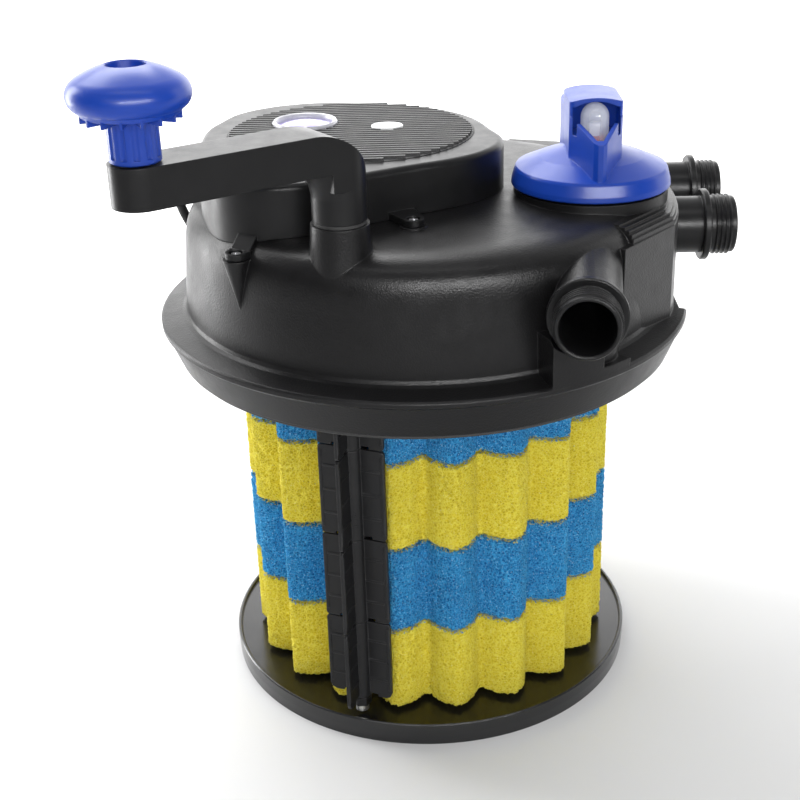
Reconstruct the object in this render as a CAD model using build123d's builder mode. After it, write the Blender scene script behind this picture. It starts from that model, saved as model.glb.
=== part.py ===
from build123d import *
import os
from math import atan2, cos, degrees, floor, hypot, radians, sin, sqrt

# Head and rotating foam cartridge of a pressurised pond filter with a
# hand-cranked cleaning rotor and a UV lamp. Millimetres, +Z up, origin on the
# cartridge axis at the underside of the base tray, front of the unit towards -Y.
# Names ending in _Z are heights, in _R radii, in _AZ azimuths in degrees from +X.

os.makedirs("parts", exist_ok=True)


# ==================================================================== helpers
def save(builder, name):
    """Label a finished piece and write its STEP file."""
    builder.part.label = name
    export_step(builder.part, f"parts/{name}.step")


def polar(radius, azimuth):
    """Point (x, y) at a radius and azimuth about the cartridge axis."""
    return radius * cos(radians(azimuth)), radius * sin(radians(azimuth))


def over(spot, z):
    """Horizontal plane at height z with its origin over the point (x, y)."""
    return Plane(origin=(*spot, z))


def upright(azimuth, spot=(0, 0)):
    """Plane through the vertical axis at spot: local x outwards at azimuth, local y up."""
    out_x, out_y = polar(1, azimuth)
    return Plane(origin=(*spot, 0), x_dir=(out_x, out_y, 0), z_dir=(out_y, -out_x, 0))


def vertical_axis(spot):
    """Vertical axis through the point (x, y)."""
    return Axis((*spot, 0), (0, 0, 1))


def turned(name, section, spot=(0, 0)):
    """Build and save a piece turned about the vertical axis at spot.

    section is its closed half section as (radius, z) points.
    """
    with BuildPart() as piece:
        with BuildSketch(upright(0, spot)):
            with BuildLine():
                Polyline(*section, close=True)
            make_face()
        revolve(axis=vertical_axis(spot))
    save(piece, name)


def cross(length, width):
    """Two crossed bars, the plan of a screwdriver slot, drawn in the open sketch."""
    Rectangle(length, width)
    Rectangle(width, length)


# ========================================================== shared dimensions
# foam rings and the cleaning rotor that meshes with them
WAVES = 19                    # waves round each foam ring
FOAM_BORE_R = 31.5
FOAM_CREST_R = 144.3
FOAM_Z = (17.6, 86.6, 156.0, 225.4, 295.0)     # foot of each ring, then the top of the stack
FOAM_GAP = 0.3
ROTOR_R = 152.0               # rotor axis distance from the cartridge axis
ROTOR_AZ = -110.5
ROTOR = polar(ROTOR_R, ROTOR_AZ)
FINS = 4
FIN_TIP_R = 25.0
FIN_T = 2.4
FIN_RIB_T = 3.2
MESH_GAP = 0.5
SHAFT_R = 5.0

# crank arm, from the rotor axis out to the grip axis
ARM_AZ = 215.0
ARM_LEN = 135.5
ARM_REACH = polar(ARM_LEN, ARM_AZ)
GRIP = (ROTOR[0] + ARM_REACH[0], ROTOR[1] + ARM_REACH[1])

# selector dial, which sits over the valve, and the clear capsule on it
DIAL = (123.0, -24.0)
CAPSULE = (DIAL[0], DIAL[1] - 14.0)

# hose ports: the waste port runs forwards from the valve, the others run along +X
PORT_Z = 349.0
PORT_BORE_R = 18.5
PIPE_R = 21.5
PIPE_HOLE_R = PIPE_R + 0.05
THREAD_R = 22.9
COLLAR_R = 27.0
WASTE_END = (102.4, -198.3)
INLET_END_X, INLET_Y = 237.5, 14.0
OUTLET_END_X, OUTLET_Y = 244.9, 113.6
WASTE_LEN = hypot(WASTE_END[0] - DIAL[0], WASTE_END[1] - DIAL[1])
WASTE_DX = (WASTE_END[0] - DIAL[0]) / WASTE_LEN
WASTE_DY = (WASTE_END[1] - DIAL[1]) / WASTE_LEN


def along_waste(distance):
    """Point (x, y) on the waste port's axis, measured from the dial axis."""
    return DIAL[0] + WASTE_DX * distance, DIAL[1] + WASTE_DY * distance


def waste_plane(distance):
    """Plane square to the waste port's axis, facing outwards."""
    return Plane(origin=(*along_waste(distance), PORT_Z),
                 x_dir=(WASTE_DY, -WASTE_DX, 0), z_dir=(WASTE_DX, WASTE_DY, 0))


def side_plane(x, y):
    """Plane at port height that faces +X."""
    return Plane(origin=(x, y, PORT_Z), x_dir=(0, 1, 0), z_dir=(1, 0, 0))


# ballast housing and the screws that hold it to the lid
HOUSING_TOP_Z = 424.0
PADS = [                      # x, y, top of the lid's screw pad
    (-124.2, -127.3, 376.5), (-5.9, -101.5, 389.4),
    (31.0, 100.0, 389.4), (-122.5, 124.5, 381.2),
]
LOW_PAD_Z = 380.0             # a pad below this height sits down on the dome's shoulder

# ==================================================== base tray and core tube
TRAY_SCREWS = 3
TRAY_SCREW_RING_R = 36.5
TRAY_SCREW_R = 1.7
TRAY_SCREW_HEAD_Z = 8.2
TRAY_SCREW_HEAD_H = 2.8
TRAY_FLOOR_Z = 15.0
CORE_R = 30.0
CORE_BORE_R = 26.0
CORE_TOP_Z = 297.0
CORE_FOOT_TOP_Z = 17.2

with BuildPart() as base_tray:
    with BuildSketch(Plane.XZ):
        with BuildLine():
            Polyline((0, 0), (0, 3), (21, 3), (21, TRAY_FLOOR_Z), (160.2, TRAY_FLOOR_Z),
                     (160.6, 17.2), (161.2, 18), (162.6, 18), (163.4, 17), (163.4, 9),
                     (162.9, 0), (159.8, 0), (160.2, 11.6), (158.5, 12), (46, 12), (46, 4),
                     (42, 4), (42, 11), (24, 11), (24, 0), close=True)
        make_face()
    revolve(axis=Axis.Z)
    # radial ribs under the floor
    with BuildSketch(Plane.XY.offset(4)):
        with PolarLocations(101, 12):
            Rectangle(119, 2.4)
    extrude(amount=8.2)
    with Locations((0, 0, TRAY_FLOOR_Z)):
        with PolarLocations(TRAY_SCREW_RING_R, TRAY_SCREWS):
            Hole(radius=2.1, depth=10)
save(base_tray, "base_tray")

SLOT_ROWS, SLOTS_PER_ROW = 6, 12
SLOT_FOOT_Z = 30
SLOT_PITCH = 38
SLOT_H = 28

with BuildPart() as core_tube:
    with BuildSketch(Plane.XZ):
        with BuildLine():
            Polyline((0, TRAY_FLOOR_Z), (41, TRAY_FLOOR_Z), (41, CORE_FOOT_TOP_Z),
                     (CORE_R, CORE_FOOT_TOP_Z), (CORE_R, CORE_TOP_Z),
                     (CORE_BORE_R, CORE_TOP_Z), (CORE_BORE_R, 20), (0, 20), close=True)
        make_face()
    revolve(axis=Axis.Z)
    for row in range(SLOT_ROWS):
        with BuildSketch(Plane.XY.offset(SLOT_FOOT_Z + row * SLOT_PITCH)):
            with PolarLocations((CORE_R + CORE_BORE_R) / 2, SLOTS_PER_ROW):
                Rectangle(10, 6)
        extrude(amount=SLOT_H, mode=Mode.SUBTRACT)
    with Locations((0, 0, CORE_FOOT_TOP_Z)):
        with PolarLocations(TRAY_SCREW_RING_R, TRAY_SCREWS):
            Hole(radius=TRAY_SCREW_R, depth=2.2)
save(core_tube, "core_tube")

# the screws enter from below: head, shank, cross slot in the head's underside
with BuildPart() as tray_screws:
    with BuildSketch(Plane.XY.offset(TRAY_SCREW_HEAD_Z)):
        with PolarLocations(TRAY_SCREW_RING_R, TRAY_SCREWS):
            Circle(3.4)
    extrude(amount=TRAY_SCREW_HEAD_H)
    with BuildSketch(Plane.XY.offset(TRAY_SCREW_HEAD_Z + TRAY_SCREW_HEAD_H)):
        with PolarLocations(TRAY_SCREW_RING_R, TRAY_SCREWS):
            Circle(TRAY_SCREW_R)
    extrude(amount=6.1)
    with BuildSketch(Plane.XY.offset(TRAY_SCREW_HEAD_Z)):
        with PolarLocations(TRAY_SCREW_RING_R, TRAY_SCREWS):
            cross(4.4, 0.9)
    extrude(amount=1.2, mode=Mode.SUBTRACT)
save(tray_screws, "tray_screws")

# flanged bush in the top of the core tube
turned("core_bush", [
    (24.05, 274), (CORE_BORE_R - 0.02, 274), (CORE_BORE_R - 0.02, CORE_TOP_Z),
    (29, CORE_TOP_Z), (29, 299.4), (24.05, 299.4),
])

# ================================================================= foam stack
CLAMP_Z = FOAM_Z[-1] + 0.1
CLAMP_T = 2.5
CLAMP_BORE_R = CORE_R + 0.1

# collar with two rings and ten spokes on top of the foam
with BuildPart() as foam_clamp:
    with BuildSketch(Plane.XZ):
        with BuildLine():
            Polyline((CLAMP_BORE_R, CLAMP_Z), (44, CLAMP_Z), (44, CLAMP_Z + CLAMP_T),
                     (35, CLAMP_Z + CLAMP_T), (35, 299), (CLAMP_BORE_R, 299), close=True)
        make_face()
    revolve(axis=Axis.Z)
    with BuildSketch(Plane.XY.offset(CLAMP_Z)):
        Circle(113)
        Circle(105, mode=Mode.SUBTRACT)
        Circle(76)
        Circle(72, mode=Mode.SUBTRACT)
        with PolarLocations(75, 10):
            Rectangle(66, 4)
    extrude(amount=CLAMP_T)
save(foam_clamp, "foam_clamp")


def foam_wave():
    """Outline (x, y) of a foam ring.

    The rings roll against the finned rotor like a gear: the wave is the path the
    fins sweep while the cartridge turns past and the rotor keeps pace, less a
    small gap. One wave is sampled in bins, made symmetric, smoothed and repeated.
    """
    pitch = 360.0 / WAVES
    ratio = WAVES / FINS
    bins = 24
    lowest = [FOAM_CREST_R] * bins
    half_width = FIN_RIB_T / 2 + MESH_GAP
    tip = FIN_TIP_R + MESH_GAP
    for step in range(-240, 241):
        turn = pitch * step / 160.0
        centre_x, centre_y = polar(ROTOR_R, -turn)
        for fin in range(FINS):
            angle = radians(180.0 - (ratio + 1.0) * turn + 360.0 / FINS * fin)
            for k in range(26):
                reach = tip * k / 25.0
                # the fin narrows at its tip
                width = half_width if reach < tip - 1.5 else half_width - 0.9
                for side in (-1, -0.5, 0, 0.5, 1):
                    x = centre_x + reach * cos(angle) - side * width * sin(angle)
                    y = centre_y + reach * sin(angle) + side * width * cos(angle)
                    phase = degrees(atan2(y, x)) / pitch
                    phase = phase - floor(phase)
                    i = int(phase * bins + 0.5) % bins
                    lowest[i] = min(lowest[i], sqrt(x * x + y * y))
    even = [min(lowest[i], lowest[-i % bins]) for i in range(bins)]
    smooth = [min(even[i], (even[i - 1] + even[i] + even[(i + 1) % bins]) / 3.0 + 0.15)
              for i in range(bins)]
    return [polar(smooth[i], ROTOR_AZ + pitch * (wave + i / bins))
            for wave in range(WAVES) for i in range(bins)]


WAVE = foam_wave()

for number, (foot_z, top_z) in enumerate(zip(FOAM_Z, FOAM_Z[1:]), start=1):
    with BuildPart() as sponge:
        with BuildSketch(Plane.XY.offset(foot_z)):
            with BuildLine():
                Polyline(*WAVE, close=True)
            make_face()
            Circle(FOAM_BORE_R, mode=Mode.SUBTRACT)
        extrude(amount=top_z - foot_z - FOAM_GAP)
    save(sponge, f"sponge_{number}")

# ============================================================ shaft and rotor
SHAFT_FOOT_Z = 20.0
SHAFT_LEN = 410.0
DRIVE_PIN_Z = 418.0
DRIVE_PIN_R = 2.0

with BuildPart() as crank_shaft:
    with BuildSketch(over(ROTOR, SHAFT_FOOT_Z)):
        Circle(SHAFT_R)
    extrude(amount=SHAFT_LEN)
    with BuildSketch(Plane(origin=(*ROTOR, DRIVE_PIN_Z), x_dir=(1, 0, 0), z_dir=(0, 1, 0))):
        Circle(DRIVE_PIN_R)
    extrude(amount=30, both=True, mode=Mode.SUBTRACT)
    chamfer(crank_shaft.edges().group_by(Axis.Z)[-1], 0.8)
save(crank_shaft, "crank_shaft")

NUT_Z = 25.5
NUT_H = 6.0
NUT_R = 7.1

# hexagon nut with a round washer face on top
with BuildPart() as rotor_nut:
    with BuildSketch(over(ROTOR, NUT_Z)):
        RegularPolygon(NUT_R, 6)
        Circle(SHAFT_R, mode=Mode.SUBTRACT)
    extrude(amount=NUT_H)
    with BuildSketch(over(ROTOR, NUT_Z + NUT_H)):
        Circle(NUT_R)
        Circle(SHAFT_R, mode=Mode.SUBTRACT)
    extrude(amount=1.6)
save(rotor_nut, "rotor_nut")

ROTOR_HUB_R = 7.5
FIN_PAIR_AZ = (ROTOR_AZ + 180, ROTOR_AZ + 270)
SEGMENT_GAP = 0.4
RIB_LEN, RIB_H = 44.0, 1.8    # level ribs across a fin pair
EDGE_RIB_R = 23.4             # upright ribs near the fin edges
EDGE_RIB_W = 2.0
SEGMENTS = [
    # name, foot z, top z, lower corner size, level rib heights above the foot,
    # edge rib length, edge rib centre above mid-height
    ("rotor_segment_1", 34.0, 101.0, 5.0, (16, 33, 50), 54, 1),
    ("rotor_segment_2", 101.0, 171.0, 2.0, (17, 35, 53), 60, 0),
    ("rotor_segment_3", 171.0, 243.0, 2.0, (17, 36, 55), 62, 0),
    ("rotor_top_segment", 243.0, 297.0, 2.0, (17, 36), 44, 0),
]


def fin_outline(foot, top, corner):
    """Outline of one fin pair: cut lower corners, stepped notches in the foot."""
    tip = FIN_TIP_R
    return [(-tip + corner, foot), (-14, foot), (-14, foot + 2.2), (-8, foot + 2.2),
            (-8, foot), (8, foot), (8, foot + 2.2), (14, foot + 2.2), (14, foot),
            (tip - corner, foot), (tip - 0.3 * corner, foot + 0.3 * corner),
            (tip, foot + corner), (tip, top - 2.4), (tip - 1.2, top - 0.9),
            (14, top - 0.9), (-14, top - 0.9), (-tip + 1.2, top - 0.9), (-tip, top - 2.4),
            (-tip, foot + corner), (-tip + 0.3 * corner, foot + 0.3 * corner)]


for name, foot_z, top_z, corner, rib_heights, edge_rib_len, edge_rib_rise in SEGMENTS:
    edge_rib_z = (foot_z + top_z) / 2 + edge_rib_rise
    with BuildPart() as segment:
        with BuildSketch(over(ROTOR, foot_z)):
            Circle(ROTOR_HUB_R)
        extrude(amount=top_z - foot_z - SEGMENT_GAP)
        for azimuth in FIN_PAIR_AZ:
            with BuildSketch(upright(azimuth, ROTOR)):
                with BuildLine():
                    Polyline(*fin_outline(foot_z, top_z, corner), close=True)
                make_face()
            extrude(amount=FIN_T / 2, both=True)
            with BuildSketch(upright(azimuth, ROTOR)):
                with Locations(*[(0, foot_z + height) for height in rib_heights]):
                    Rectangle(RIB_LEN, RIB_H)
                with Locations((-EDGE_RIB_R, edge_rib_z), (EDGE_RIB_R, edge_rib_z)):
                    Rectangle(EDGE_RIB_W, edge_rib_len)
            extrude(amount=FIN_RIB_T / 2, both=True)
        with BuildSketch(over(ROTOR, 0)):
            Circle(SHAFT_R)
        extrude(amount=400, mode=Mode.SUBTRACT)
    save(segment, name)

# ============================================================= crank and grip
# crank arm: a round leg that turns through an elbow into a flat-sided beam
ARM_TOP_Z = 468.0
ARM_H = 25.5
ARM_W = 34.0
ARM_BOTTOM_Z = ARM_TOP_Z - ARM_H
ARM_END = ARM_LEN + 18
LEG_R = 18.0
LEG_FOOT_Z = 407.6
LEG_INNER = LEG_R - 4         # side view of the leg under the beam
SIDE_FOOT_Z = 430.0
ELBOW_R = 44.0
ELBOW_OUT = ELBOW_R - LEG_R   # elbow centre, out along the arm
ELBOW_Z = ARM_TOP_Z - ELBOW_R
GRIP_PIN_R = 6.0
ARM_PLANE = Plane(origin=(*ROTOR, 0), x_dir=(*polar(1, ARM_AZ), 0), z_dir=(0, 0, 1))

with BuildPart() as crank_arm:
    # side view, standing in the arm's own plane
    with BuildSketch(upright(ARM_AZ, ROTOR)):
        with BuildLine():
            Polyline((-LEG_R, SIDE_FOOT_Z), (-LEG_R, 438), (-LEG_R, ARM_TOP_Z),
                     (ARM_END, ARM_TOP_Z), (ARM_END, ARM_BOTTOM_Z),
                     (LEG_INNER, ARM_BOTTOM_Z), (LEG_INNER, SIDE_FOOT_Z), close=True)
        make_face()
    extrude(amount=20, both=True)
    # plan view: leg circle, tapering to the rounded beam
    with BuildSketch(ARM_PLANE.offset(420)):
        Circle(LEG_R)
        with BuildLine():
            Polyline((0, -LEG_R), (ARM_LEN, -ARM_W / 2), (ARM_LEN, ARM_W / 2), (0, LEG_R),
                     close=True)
        make_face()
        with Locations((ARM_LEN, 0)):
            Circle(ARM_W / 2)
    extrude(amount=60, mode=Mode.INTERSECT)
    # round leg, flaring under the beam on the inside of the elbow
    with BuildSketch(ARM_PLANE.offset(LEG_FOOT_Z)):
        Circle(LEG_R)
    extrude(amount=32)
    with BuildSketch(ARM_PLANE.offset(ELBOW_Z)):
        Circle(LEG_R)
    for flare_z, flare in ((434, 1.4), (443, 4.4)):
        with BuildSketch(ARM_PLANE.offset(flare_z)):
            with Locations((flare, 0)):
                Ellipse(LEG_R + flare, LEG_R)
    loft()
    # round the outside of the elbow
    with BuildSketch(upright(ARM_AZ, ROTOR)):
        with BuildLine():
            EllipticalCenterArc((ELBOW_OUT, ELBOW_Z), ELBOW_R, ELBOW_R,
                                start_angle=90, arc_size=90)
            Polyline((ELBOW_OUT, ARM_TOP_Z), (ELBOW_OUT, 480), (-30, 480), (-30, ELBOW_Z),
                     (-LEG_R, ELBOW_Z))
        make_face()
    extrude(amount=30, both=True, mode=Mode.SUBTRACT)
    # shaft socket
    with BuildSketch(over(ROTOR, LEG_FOOT_Z)):
        Circle(SHAFT_R)
    extrude(amount=22.5, mode=Mode.SUBTRACT)
    # drive pin hole, open at the back
    with BuildSketch(Plane(origin=(ROTOR[0], ROTOR[1] - 6, DRIVE_PIN_Z),
                           x_dir=(-1, 0, 0), z_dir=(0, 1, 0))):
        Circle(DRIVE_PIN_R)
    extrude(amount=30, mode=Mode.SUBTRACT)
    # grip pin hole, counterbored from below
    with BuildSketch(over(GRIP, ARM_BOTTOM_Z)):
        Circle(GRIP_PIN_R)
    extrude(amount=ARM_H + 1, mode=Mode.SUBTRACT)
    with BuildSketch(over(GRIP, ARM_BOTTOM_Z)):
        Circle(9.5)
    extrude(amount=5, mode=Mode.SUBTRACT)
save(crank_arm, "crank_arm")

with BuildPart() as drive_pin:
    with BuildSketch(Plane(origin=(ROTOR[0], ROTOR[1] - 5.9, DRIVE_PIN_Z),
                           x_dir=(-1, 0, 0), z_dir=(0, 1, 0))):
        Circle(DRIVE_PIN_R - 0.02)
    extrude(amount=23.3)
save(drive_pin, "drive_pin")

PIN_SHANK_R = GRIP_PIN_R - 0.02
PIN_FOOT_Z = ARM_BOTTOM_Z + 0.6
PIN_FLANGE_TOP_Z = ARM_BOTTOM_Z + 4.9

with BuildPart() as grip_pin:
    with BuildSketch(upright(0, GRIP)):
        with BuildLine():
            Polyline((0, PIN_FOOT_Z), (9.3, PIN_FOOT_Z), (9.3, PIN_FLANGE_TOP_Z),
                     (PIN_SHANK_R, PIN_FLANGE_TOP_Z), (PIN_SHANK_R, 512.4), (9.4, 512.4),
                     (9.4, 514.6), (7.8, 516.2), (0, 516.8), close=True)
        make_face()
    revolve(axis=vertical_axis(GRIP))
    with BuildSketch(over(GRIP, 514.2)):
        cross(9.6, 1.5)
    extrude(amount=4, mode=Mode.SUBTRACT)
save(grip_pin, "grip_pin")

KNOB_BORE_R = GRIP_PIN_R + 0.05
KNOB_FOOT_Z = 468.6

with BuildPart() as grip_knob:
    # stem and wide cap, hollowed over the head of the pin
    with BuildSketch(upright(0, GRIP)):
        with BuildLine():
            Polyline((KNOB_BORE_R, KNOB_FOOT_Z), (14.4, KNOB_FOOT_Z), (15.2, 469.4),
                     (15.0, 494), (16.5, 496.5), (28.6, 496.5), (30.6, 499.2))
            Bezier((30.6, 499.2), (37.4, 502.6), (37.7, 512.6), (29.5, 517.2))
            Bezier((29.5, 517.2), (24.0, 520.3), (18.0, 523.0), (12.2, 524.2))
            Polyline((12.2, 524.2), (11.5, 523.4), (10.4, 512.0), (KNOB_BORE_R, 512.0),
                     (KNOB_BORE_R, KNOB_FOOT_Z))
        make_face()
    revolve(axis=vertical_axis(GRIP))
    # vertical flutes on the stem
    with BuildSketch(over(GRIP, 472)):
        with PolarLocations(17.2, 12, start_angle=15):
            Circle(3.0)
    extrude(amount=21, mode=Mode.SUBTRACT)
    # short ribs under the cap, with pockets between them
    with BuildSketch(over(GRIP, 493.2)):
        with PolarLocations(22.5, 16):
            Rectangle(13.5, 1.6)
    extrude(amount=4.5)
    with BuildSketch(over(GRIP, 497.0)):
        with PolarLocations(22.5, 16, start_angle=11.25):
            Rectangle(9.5, 3.6)
    extrude(amount=-3.0, mode=Mode.SUBTRACT)
save(grip_knob, "grip_knob")

# ======================================================================= lid
# Outline of the dome as (radius, z): three Bezier spans, wall, shoulder, crown.
DOME = [
    ((180.0, 308.0), (180.0, 324.0), (178.5, 337.0), (177.4, 350.0)),
    ((177.4, 350.0), (176.0, 376.0), (173.0, 386.4), (145.0, 387.0)),
    ((145.0, 387.0), (108.0, 387.8), (55.0, 390.3), (0.0, 390.3)),
]
DOME_FOOT_R, DOME_FOOT_Z = DOME[0][0]
DOME_TOP_Z = DOME[-1][-1][1]
# (radius, z) up the outside of the flared skirt and over the rim
LID_SKIRT_R, LID_SKIRT_Z = 187.4, 272
LID_RIM = [
    (LID_SKIRT_R, LID_SKIRT_Z), (188.6, 272), (198.2, 295.6), (200, 297.4), (200, 300.2),
    (198.6, 301.6), (184.0, 304.3), (181.2, 305.6), (DOME_FOOT_R, DOME_FOOT_Z),
]
# (radius, z) down the inside of the rim and skirt, then in to the axis
LID_INSIDE_FOOT = [(178.5, 302), (185.0, 297), (183.0, 287), (181.0, 272), (0, 272)]
LID_WALL = 4.0

# valve tower: a bulge on the +X side of the wall
TOWER_R, TOWER_START_AZ, TOWER_END_AZ = 189.8, -19.0, 50.0
TOWER_ROOT_R = 150            # buried in the dome
TOWER_FOOT_R = 178.6          # where the flanks run out into the wall
TOWER_INSIDE_R = 185.6
# rounded top of the tower, as steps: levels, and how far each step is drawn in
TOWER_STEP_Z = (373.0, 376.4, 379.4, 381.8, 383.6, 384.8)
TOWER_STEP_INSET = (0.0, 1.3, 3.6, 7.0, 11.5)

NECK_R, NECK_BORE_R = 56.0, 52.0
NECK_FOOT_Z, NECK_TOP_Z = 300.0, 393.0
BOSS_FOOT_Z, BOSS_TOP_Z = 364.0, 405.0
SADDLE_R = 21.3

# block on the rim under the waste port: inner and outer radius, start azimuth,
# then (foot z, height, end azimuth) of its wide foot and narrower upper part
BLOCK_IN_R, BLOCK_OUT_R, BLOCK_START_AZ = 176, 199.9, -65.5
BLOCK_PARTS = [(297.5, 9, -46.0), (300, 34, -53.5)]


def dome_points(inset):
    """(radius, z) points down the dome from the crown to the wall foot, moved inwards."""
    steps = 7
    points = []
    for start, pull_1, pull_2, end in reversed(DOME):
        for k in range(steps):
            t = 1.0 - k / steps
            u = 1.0 - t
            radius, z = (u ** 3 * start[i] + 3 * u * u * t * pull_1[i]
                         + 3 * u * t * t * pull_2[i] + t ** 3 * end[i] for i in (0, 1))
            slope_r, slope_z = (3 * u * u * (pull_1[i] - start[i])
                                + 6 * u * t * (pull_2[i] - pull_1[i])
                                + 3 * t * t * (end[i] - pull_2[i]) for i in (0, 1))
            slope = hypot(slope_r, slope_z)
            points.append((max(0.0, radius - inset * slope_z / slope),
                           z + inset * slope_r / slope))
    points.append((DOME_FOOT_R - inset, DOME_FOOT_Z))
    return points


def tower_outline(wall_r, foot_r, before, after):
    """Draw the tower's plan in the open line block.

    The flanks meet the dome before and after degrees beyond the bulge.
    """
    first, last = TOWER_START_AZ - before, TOWER_END_AZ + after
    Polyline(polar(TOWER_ROOT_R, first), polar(foot_r, first), polar(wall_r, TOWER_START_AZ))
    CenterArc((0, 0), wall_r, TOWER_START_AZ, TOWER_END_AZ - TOWER_START_AZ)
    Polyline(polar(wall_r, TOWER_END_AZ), polar(foot_r, last), polar(TOWER_ROOT_R, last))
    CenterArc((0, 0), TOWER_ROOT_R, first, last - first)


def ring_sector(inner_r, outer_r, start, end):
    """Draw a sector of a ring between two azimuths in the open line block."""
    Line(polar(inner_r, start), polar(outer_r, start))
    CenterArc((0, 0), outer_r, start, end - start)
    Line(polar(outer_r, end), polar(inner_r, end))
    CenterArc((0, 0), inner_r, start, end - start)


with BuildPart() as lid_shell:
    # solid dome and rim, hollowed further down
    with BuildSketch(Plane.XZ):
        with BuildLine():
            Polyline(*LID_RIM)
            for span in DOME:
                Bezier(*span)
            Polyline((0, DOME_TOP_Z), (0, LID_SKIRT_Z), (LID_SKIRT_R, LID_SKIRT_Z))
        make_face()
    revolve(axis=Axis.Z)
    # valve tower: bulged side wall that runs out of the dome and rounds over at the shoulder
    with BuildSketch(Plane.XY.offset(303)):
        with BuildLine():
            tower_outline(TOWER_R, TOWER_FOOT_R, before=21, after=16)
        make_face()
    extrude(amount=70)
    for inset, foot_z, top_z in zip(TOWER_STEP_INSET, TOWER_STEP_Z, TOWER_STEP_Z[1:]):
        with BuildSketch(Plane.XY.offset(foot_z)):
            with BuildLine():
                tower_outline(TOWER_R - 0.5 - inset, TOWER_FOOT_R - 1.0 - inset,
                              before=17, after=13)
            make_face()
        extrude(amount=top_z - foot_z)
    # small catch on the side of the tower
    with BuildSketch(Plane.XY.offset(327)):
        with Locations(polar(191.5, -13)):
            Rectangle(7, 6)
    extrude(amount=6, taper=12)
    # round neck under the dial and the spigot that carries the dial
    with BuildSketch(over(DIAL, NECK_FOOT_Z)):
        Circle(NECK_R)
    extrude(amount=NECK_TOP_Z - NECK_FOOT_Z)
    with BuildSketch(over(DIAL, NECK_TOP_Z)):
        Circle(47)
    extrude(amount=6)
    # crank boss
    with BuildSketch(over(ROTOR, BOSS_FOOT_Z)):
        Circle(22.4)
    extrude(amount=BOSS_TOP_Z - BOSS_FOOT_Z, taper=4.2)
    # half-round saddle below the waste port and the sloping sleeve over it
    with BuildSketch(Plane(origin=(*along_waste(112), 303.2),
                           x_dir=(WASTE_DY, -WASTE_DX, 0), z_dir=(0, 0, 1))):
        with Locations((0, -26)):
            Rectangle(2 * SADDLE_R, 52)
        Circle(SADDLE_R)
    extrude(amount=45.8)
    with BuildSketch(Plane(origin=(*along_waste(146.4), 350.4),
                           x_dir=(WASTE_DY, -WASTE_DX, 0),
                           z_dir=(-WASTE_DX, -WASTE_DY, 0.118))):
        Circle(22.9)
    extrude(amount=104)
    # block under the waste port, flush with the rim
    for foot_z, height, end_azimuth in BLOCK_PARTS:
        with BuildSketch(Plane.XY.offset(foot_z)):
            with BuildLine():
                ring_sector(BLOCK_IN_R, BLOCK_OUT_R, BLOCK_START_AZ, end_azimuth)
            make_face()
        extrude(amount=height)
    # pads that carry the housing screws, widening downwards into the dome
    for x, y, z in PADS:
        with BuildSketch(Plane(origin=(x, y, z), z_dir=(0, 0, -1))):
            Circle(9.5)
        extrude(amount=36 if z < LOW_PAD_Z else 40, taper=14.2 if z < LOW_PAD_Z else 5.2)
    # flat on the +X side of the rim
    with BuildSketch(Plane.XY.offset(290)):
        with Locations((200, 9)):
            Rectangle(20.2, 102)
    extrude(amount=20, mode=Mode.SUBTRACT)
    # clear the inside: dome, neck, tower
    with BuildSketch(Plane.XZ):
        with BuildLine():
            Polyline(*dome_points(LID_WALL), *LID_INSIDE_FOOT, close=True)
        make_face()
    revolve(axis=Axis.Z, mode=Mode.SUBTRACT)
    with BuildSketch(over(DIAL, NECK_FOOT_Z)):
        Circle(NECK_BORE_R)
    extrude(amount=88, mode=Mode.SUBTRACT)
    with BuildSketch(Plane.XY.offset(308)):
        with BuildLine():
            ring_sector(146, TOWER_INSIDE_R, TOWER_START_AZ + 2, TOWER_END_AZ - 2)
        make_face()
    extrude(amount=68, mode=Mode.SUBTRACT)
    # openings of the waste port, its collar, the inlet and the outlet
    with BuildSketch(waste_plane(40)):
        Circle(PIPE_HOLE_R)
    extrude(amount=140, mode=Mode.SUBTRACT)
    with BuildSketch(waste_plane(147)):
        Circle(COLLAR_R + 1.0)
    extrude(amount=40, mode=Mode.SUBTRACT)
    for x, y in ((120, INLET_Y), (110, OUTLET_Y)):
        with BuildSketch(side_plane(x, y)):
            Circle(PIPE_HOLE_R)
        extrude(amount=100, mode=Mode.SUBTRACT)
    # crank bush hole and seal seat, valve stem bush hole, lamp opening
    for spot, foot_z, radius, height in ((ROTOR, 350, 9.0, 60), (ROTOR, 401.5, 15.0, 5),
                                         (DIAL, 380, 12.0, 30), ((0, 0), 380, 22.0, 15)):
        with BuildSketch(over(spot, foot_z)):
            Circle(radius)
        extrude(amount=height, mode=Mode.SUBTRACT)
    # screw holes in the pads
    with BuildSketch(Plane.XY.offset(360)):
        with Locations(*[(x, y) for x, y, z in PADS]):
            Circle(1.8)
    extrude(amount=40, mode=Mode.SUBTRACT)
save(lid_shell, "lid_shell")

turned("lid_seal", [
    (182.5, 269.6), (183.5, 268.5), (185.1, 268.5), (186.1, 269.6),
    (186.1, 270.8), (185.1, 271.9), (183.5, 271.9), (182.5, 270.8),
])

# =========================================================== inside the lid
DIFFUSER_Z = 303.0
DIFFUSER_T = 3.0

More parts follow.
